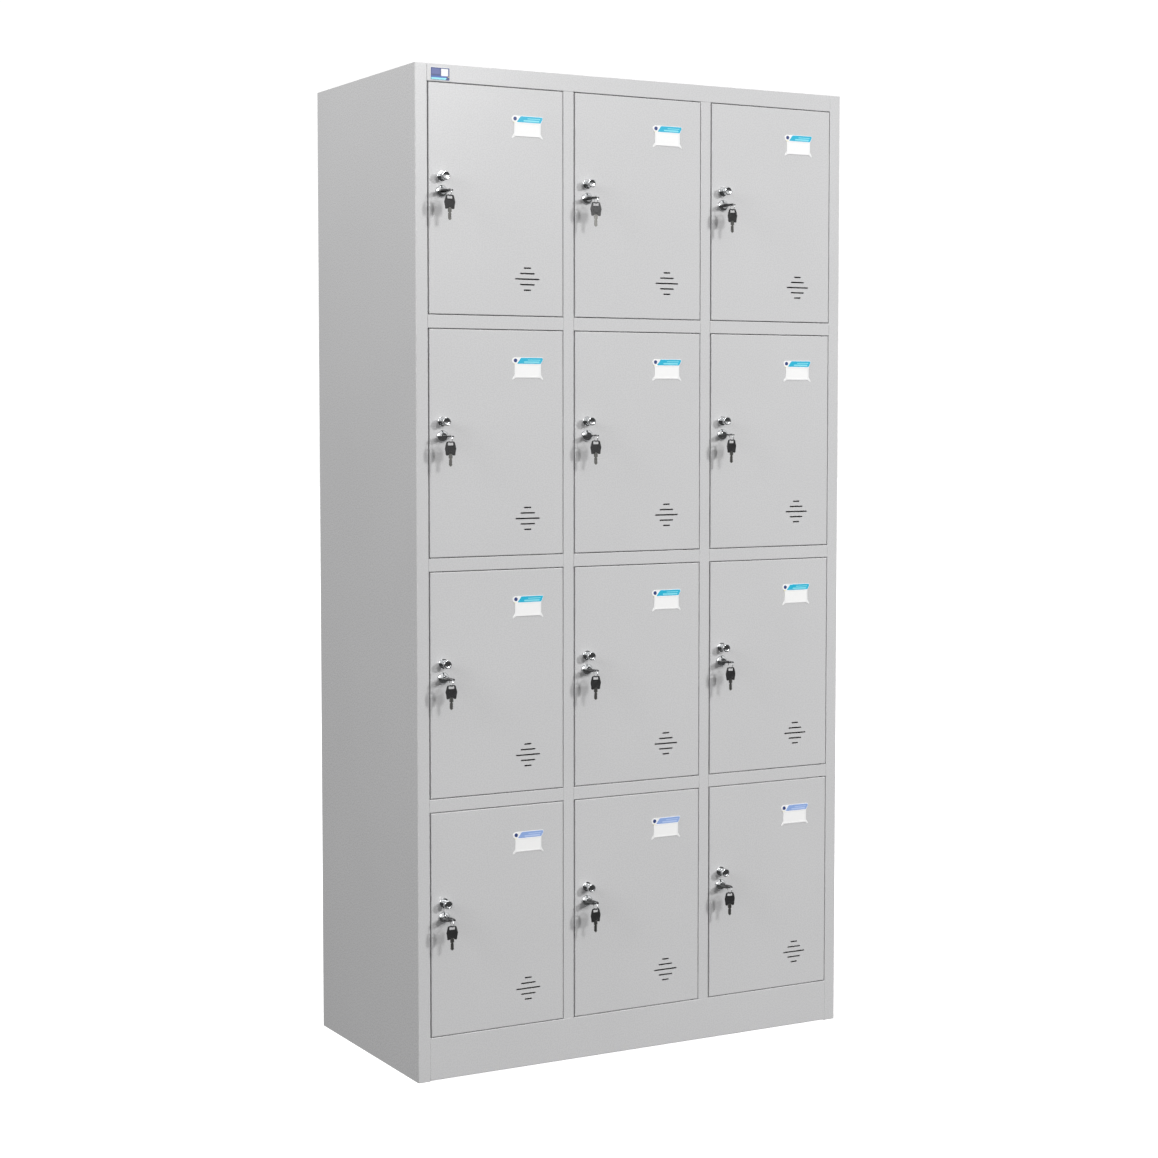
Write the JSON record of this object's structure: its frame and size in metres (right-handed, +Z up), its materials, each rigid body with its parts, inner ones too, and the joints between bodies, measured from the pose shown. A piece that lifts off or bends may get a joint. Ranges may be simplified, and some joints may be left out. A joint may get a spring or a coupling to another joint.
{
  "type": "multi-door steel locker",
  "caption": "Free-standing light grey steel locker cabinet with flush vented doors in columns, each with a pull knob, a key cam lock, a spare key and a name card.",
  "frame": {"origin": "on the floor, at the centre of the whole footprint: the cabinet and the keys standing out in front of the doors", "axes": "+Z up, the doors face -Y, +X to the right seen from the front"},
  "size_m": [0.915, 0.4908, 1.83],
  "materials": {
    "panel_paint": "satin light grey powder coat with a fine orange peel",
    "door_paint": "satin light grey powder coat with a fine orange peel",
    "inner_paint": "satin light grey powder coat",
    "pin_steel": "zinc plated steel",
    "nameplate_plastic": "printed plastic label",
    "fittings_chrome": "bright chrome plate",
    "lock_steel": "plated steel",
    "key_plastic": "moulded black plastic bow on a plated blade"
  },
  "bodies": {
    "cabinet": {"side_panel_left": "panel_paint", "side_panel_right": "panel_paint", "back_panel": "panel_paint", "top_panel": "panel_paint", "top_rail": "panel_paint", "floor_panel": "inner_paint", "kick_plate": "panel_paint", "divider_left": "panel_paint", "divider_right": "panel_paint", "shelves": "inner_paint", "hinge_pins": "pin_steel", "nameplate": "nameplate_plastic"},
    "door_01": {"door_01": "door_paint", "door_fittings_01": "fittings_chrome"},
    "lock_01": {"lock_plug_01": "lock_steel"},
    "spare_key_01": {"spare_key_01": "key_plastic"},
    "door_02": {"door_02": "door_paint", "door_fittings_02": "fittings_chrome"},
    "lock_02": {"lock_plug_02": "lock_steel"},
    "spare_key_02": {"spare_key_02": "key_plastic"},
    "door_03": {"door_03": "door_paint", "door_fittings_03": "fittings_chrome"},
    "lock_03": {"lock_plug_03": "lock_steel"},
    "spare_key_03": {"spare_key_03": "key_plastic"},
    "door_04": {"door_04": "door_paint", "door_fittings_04": "fittings_chrome"},
    "lock_04": {"lock_plug_04": "lock_steel"},
    "spare_key_04": {"spare_key_04": "key_plastic"},
    "door_05": {"door_05": "door_paint", "door_fittings_05": "fittings_chrome"},
    "lock_05": {"lock_plug_05": "lock_steel"},
    "spare_key_05": {"spare_key_05": "key_plastic"},
    "door_06": {"door_06": "door_paint", "door_fittings_06": "fittings_chrome"},
    "lock_06": {"lock_plug_06": "lock_steel"},
    "spare_key_06": {"spare_key_06": "key_plastic"},
    "door_07": {"door_07": "door_paint", "door_fittings_07": "fittings_chrome"},
    "lock_07": {"lock_plug_07": "lock_steel"},
    "spare_key_07": {"spare_key_07": "key_plastic"},
    "door_08": {"door_08": "door_paint", "door_fittings_08": "fittings_chrome"},
    "lock_08": {"lock_plug_08": "lock_steel"},
    "spare_key_08": {"spare_key_08": "key_plastic"},
    "door_09": {"door_09": "door_paint", "door_fittings_09": "fittings_chrome"},
    "lock_09": {"lock_plug_09": "lock_steel"},
    "spare_key_09": {"spare_key_09": "key_plastic"},
    "door_10": {"door_10": "door_paint", "door_fittings_10": "fittings_chrome"},
    "lock_10": {"lock_plug_10": "lock_steel"},
    "spare_key_10": {"spare_key_10": "key_plastic"},
    "door_11": {"door_11": "door_paint", "door_fittings_11": "fittings_chrome"},
    "lock_11": {"lock_plug_11": "lock_steel"},
    "spare_key_11": {"spare_key_11": "key_plastic"},
    "door_12": {"door_12": "door_paint", "door_fittings_12": "fittings_chrome"},
    "lock_12": {"lock_plug_12": "lock_steel"},
    "spare_key_12": {"spare_key_12": "key_plastic"}
  },
  "joints": [
    {"name": "door_01_hinge", "type": "hinge", "parent": "cabinet", "child": "door_01", "pos_m": [-0.17117, -0.1991, 1.59312], "axis": [0, 0, 1], "range_deg": [0, 105]},
    {"name": "lock_01_turn", "type": "hinge", "parent": "door_01", "child": "lock_01", "pos_m": [-0.4056, -0.2046, 1.60605], "axis": [0, 1, 0], "range_deg": [0, 90]},
    {"name": "spare_key_01_swing", "type": "hinge", "parent": "lock_01", "child": "spare_key_01", "pos_m": [-0.4056, -0.2378, 1.5943], "axis": [0, 1, 0], "range_deg": [-90, 0]},
    {"name": "door_02_hinge", "type": "hinge", "parent": "cabinet", "child": "door_02", "pos_m": [0.12517, -0.1991, 1.59312], "axis": [0, 0, 1], "range_deg": [0, 105]},
    {"name": "lock_02_turn", "type": "hinge", "parent": "door_02", "child": "lock_02", "pos_m": [-0.10927, -0.2046, 1.60605], "axis": [0, 1, 0], "range_deg": [0, 90]},
    {"name": "spare_key_02_swing", "type": "hinge", "parent": "lock_02", "child": "spare_key_02", "pos_m": [-0.10927, -0.2378, 1.5943], "axis": [0, 1, 0], "range_deg": [-90, 0]},
    {"name": "door_03_hinge", "type": "hinge", "parent": "cabinet", "child": "door_03", "pos_m": [0.4215, -0.1991, 1.59312], "axis": [0, 0, 1], "range_deg": [0, 105]},
    {"name": "lock_03_turn", "type": "hinge", "parent": "door_03", "child": "lock_03", "pos_m": [0.18707, -0.2046, 1.60605], "axis": [0, 1, 0], "range_deg": [0, 90]},
    {"name": "spare_key_03_swing", "type": "hinge", "parent": "lock_03", "child": "spare_key_03", "pos_m": [0.18707, -0.2378, 1.5943], "axis": [0, 1, 0], "range_deg": [-90, 0]},
    {"name": "door_04_hinge", "type": "hinge", "parent": "cabinet", "child": "door_04", "pos_m": [-0.17117, -0.1991, 1.15738], "axis": [0, 0, 1], "range_deg": [0, 105]},
    {"name": "lock_04_turn", "type": "hinge", "parent": "door_04", "child": "lock_04", "pos_m": [-0.4056, -0.2046, 1.1703], "axis": [0, 1, 0], "range_deg": [0, 90]},
    {"name": "spare_key_04_swing", "type": "hinge", "parent": "lock_04", "child": "spare_key_04", "pos_m": [-0.4056, -0.2378, 1.15855], "axis": [0, 1, 0], "range_deg": [-90, 0]},
    {"name": "door_05_hinge", "type": "hinge", "parent": "cabinet", "child": "door_05", "pos_m": [0.12517, -0.1991, 1.15738], "axis": [0, 0, 1], "range_deg": [0, 105]},
    {"name": "lock_05_turn", "type": "hinge", "parent": "door_05", "child": "lock_05", "pos_m": [-0.10927, -0.2046, 1.1703], "axis": [0, 1, 0], "range_deg": [0, 90]},
    {"name": "spare_key_05_swing", "type": "hinge", "parent": "lock_05", "child": "spare_key_05", "pos_m": [-0.10927, -0.2378, 1.15855], "axis": [0, 1, 0], "range_deg": [-90, 0]},
    {"name": "door_06_hinge", "type": "hinge", "parent": "cabinet", "child": "door_06", "pos_m": [0.4215, -0.1991, 1.15738], "axis": [0, 0, 1], "range_deg": [0, 105]},
    {"name": "lock_06_turn", "type": "hinge", "parent": "door_06", "child": "lock_06", "pos_m": [0.18707, -0.2046, 1.1703], "axis": [0, 1, 0], "range_deg": [0, 90]},
    {"name": "spare_key_06_swing", "type": "hinge", "parent": "lock_06", "child": "spare_key_06", "pos_m": [0.18707, -0.2378, 1.15855], "axis": [0, 1, 0], "range_deg": [-90, 0]},
    {"name": "door_07_hinge", "type": "hinge", "parent": "cabinet", "child": "door_07", "pos_m": [-0.17117, -0.1991, 0.72162], "axis": [0, 0, 1], "range_deg": [0, 105]},
    {"name": "lock_07_turn", "type": "hinge", "parent": "door_07", "child": "lock_07", "pos_m": [-0.4056, -0.2046, 0.73455], "axis": [0, 1, 0], "range_deg": [0, 90]},
    {"name": "spare_key_07_swing", "type": "hinge", "parent": "lock_07", "child": "spare_key_07", "pos_m": [-0.4056, -0.2378, 0.7228], "axis": [0, 1, 0], "range_deg": [-90, 0]},
    {"name": "door_08_hinge", "type": "hinge", "parent": "cabinet", "child": "door_08", "pos_m": [0.12517, -0.1991, 0.72162], "axis": [0, 0, 1], "range_deg": [0, 105]},
    {"name": "lock_08_turn", "type": "hinge", "parent": "door_08", "child": "lock_08", "pos_m": [-0.10927, -0.2046, 0.73455], "axis": [0, 1, 0], "range_deg": [0, 90]},
    {"name": "spare_key_08_swing", "type": "hinge", "parent": "lock_08", "child": "spare_key_08", "pos_m": [-0.10927, -0.2378, 0.7228], "axis": [0, 1, 0], "range_deg": [-90, 0]},
    {"name": "door_09_hinge", "type": "hinge", "parent": "cabinet", "child": "door_09", "pos_m": [0.4215, -0.1991, 0.72162], "axis": [0, 0, 1], "range_deg": [0, 105]},
    {"name": "lock_09_turn", "type": "hinge", "parent": "door_09", "child": "lock_09", "pos_m": [0.18707, -0.2046, 0.73455], "axis": [0, 1, 0], "range_deg": [0, 90]},
    {"name": "spare_key_09_swing", "type": "hinge", "parent": "lock_09", "child": "spare_key_09", "pos_m": [0.18707, -0.2378, 0.7228], "axis": [0, 1, 0], "range_deg": [-90, 0]},
    {"name": "door_10_hinge", "type": "hinge", "parent": "cabinet", "child": "door_10", "pos_m": [-0.17117, -0.1991, 0.28587], "axis": [0, 0, 1], "range_deg": [0, 105]},
    {"name": "lock_10_turn", "type": "hinge", "parent": "door_10", "child": "lock_10", "pos_m": [-0.4056, -0.2046, 0.2988], "axis": [0, 1, 0], "range_deg": [0, 90]},
    {"name": "spare_key_10_swing", "type": "hinge", "parent": "lock_10", "child": "spare_key_10", "pos_m": [-0.4056, -0.2378, 0.28705], "axis": [0, 1, 0], "range_deg": [-90, 0]},
    {"name": "door_11_hinge", "type": "hinge", "parent": "cabinet", "child": "door_11", "pos_m": [0.12517, -0.1991, 0.28587], "axis": [0, 0, 1], "range_deg": [0, 105]},
    {"name": "lock_11_turn", "type": "hinge", "parent": "door_11", "child": "lock_11", "pos_m": [-0.10927, -0.2046, 0.2988], "axis": [0, 1, 0], "range_deg": [0, 90]},
    {"name": "spare_key_11_swing", "type": "hinge", "parent": "lock_11", "child": "spare_key_11", "pos_m": [-0.10927, -0.2378, 0.28705], "axis": [0, 1, 0], "range_deg": [-90, 0]},
    {"name": "door_12_hinge", "type": "hinge", "parent": "cabinet", "child": "door_12", "pos_m": [0.4215, -0.1991, 0.28587], "axis": [0, 0, 1], "range_deg": [0, 105]},
    {"name": "lock_12_turn", "type": "hinge", "parent": "door_12", "child": "lock_12", "pos_m": [0.18707, -0.2046, 0.2988], "axis": [0, 1, 0], "range_deg": [0, 90]},
    {"name": "spare_key_12_swing", "type": "hinge", "parent": "lock_12", "child": "spare_key_12", "pos_m": [0.18707, -0.2378, 0.28705], "axis": [0, 1, 0], "range_deg": [-90, 0]}
  ],
  "couplings": [
    {"joint": "spare_key_01_swing", "follows": "lock_01_turn", "ratio": -1},
    {"joint": "spare_key_02_swing", "follows": "lock_02_turn", "ratio": -1},
    {"joint": "spare_key_03_swing", "follows": "lock_03_turn", "ratio": -1},
    {"joint": "spare_key_04_swing", "follows": "lock_04_turn", "ratio": -1},
    {"joint": "spare_key_05_swing", "follows": "lock_05_turn", "ratio": -1},
    {"joint": "spare_key_06_swing", "follows": "lock_06_turn", "ratio": -1},
    {"joint": "spare_key_07_swing", "follows": "lock_07_turn", "ratio": -1},
    {"joint": "spare_key_08_swing", "follows": "lock_08_turn", "ratio": -1},
    {"joint": "spare_key_09_swing", "follows": "lock_09_turn", "ratio": -1},
    {"joint": "spare_key_10_swing", "follows": "lock_10_turn", "ratio": -1},
    {"joint": "spare_key_11_swing", "follows": "lock_11_turn", "ratio": -1},
    {"joint": "spare_key_12_swing", "follows": "lock_12_turn", "ratio": -1}
  ]
}
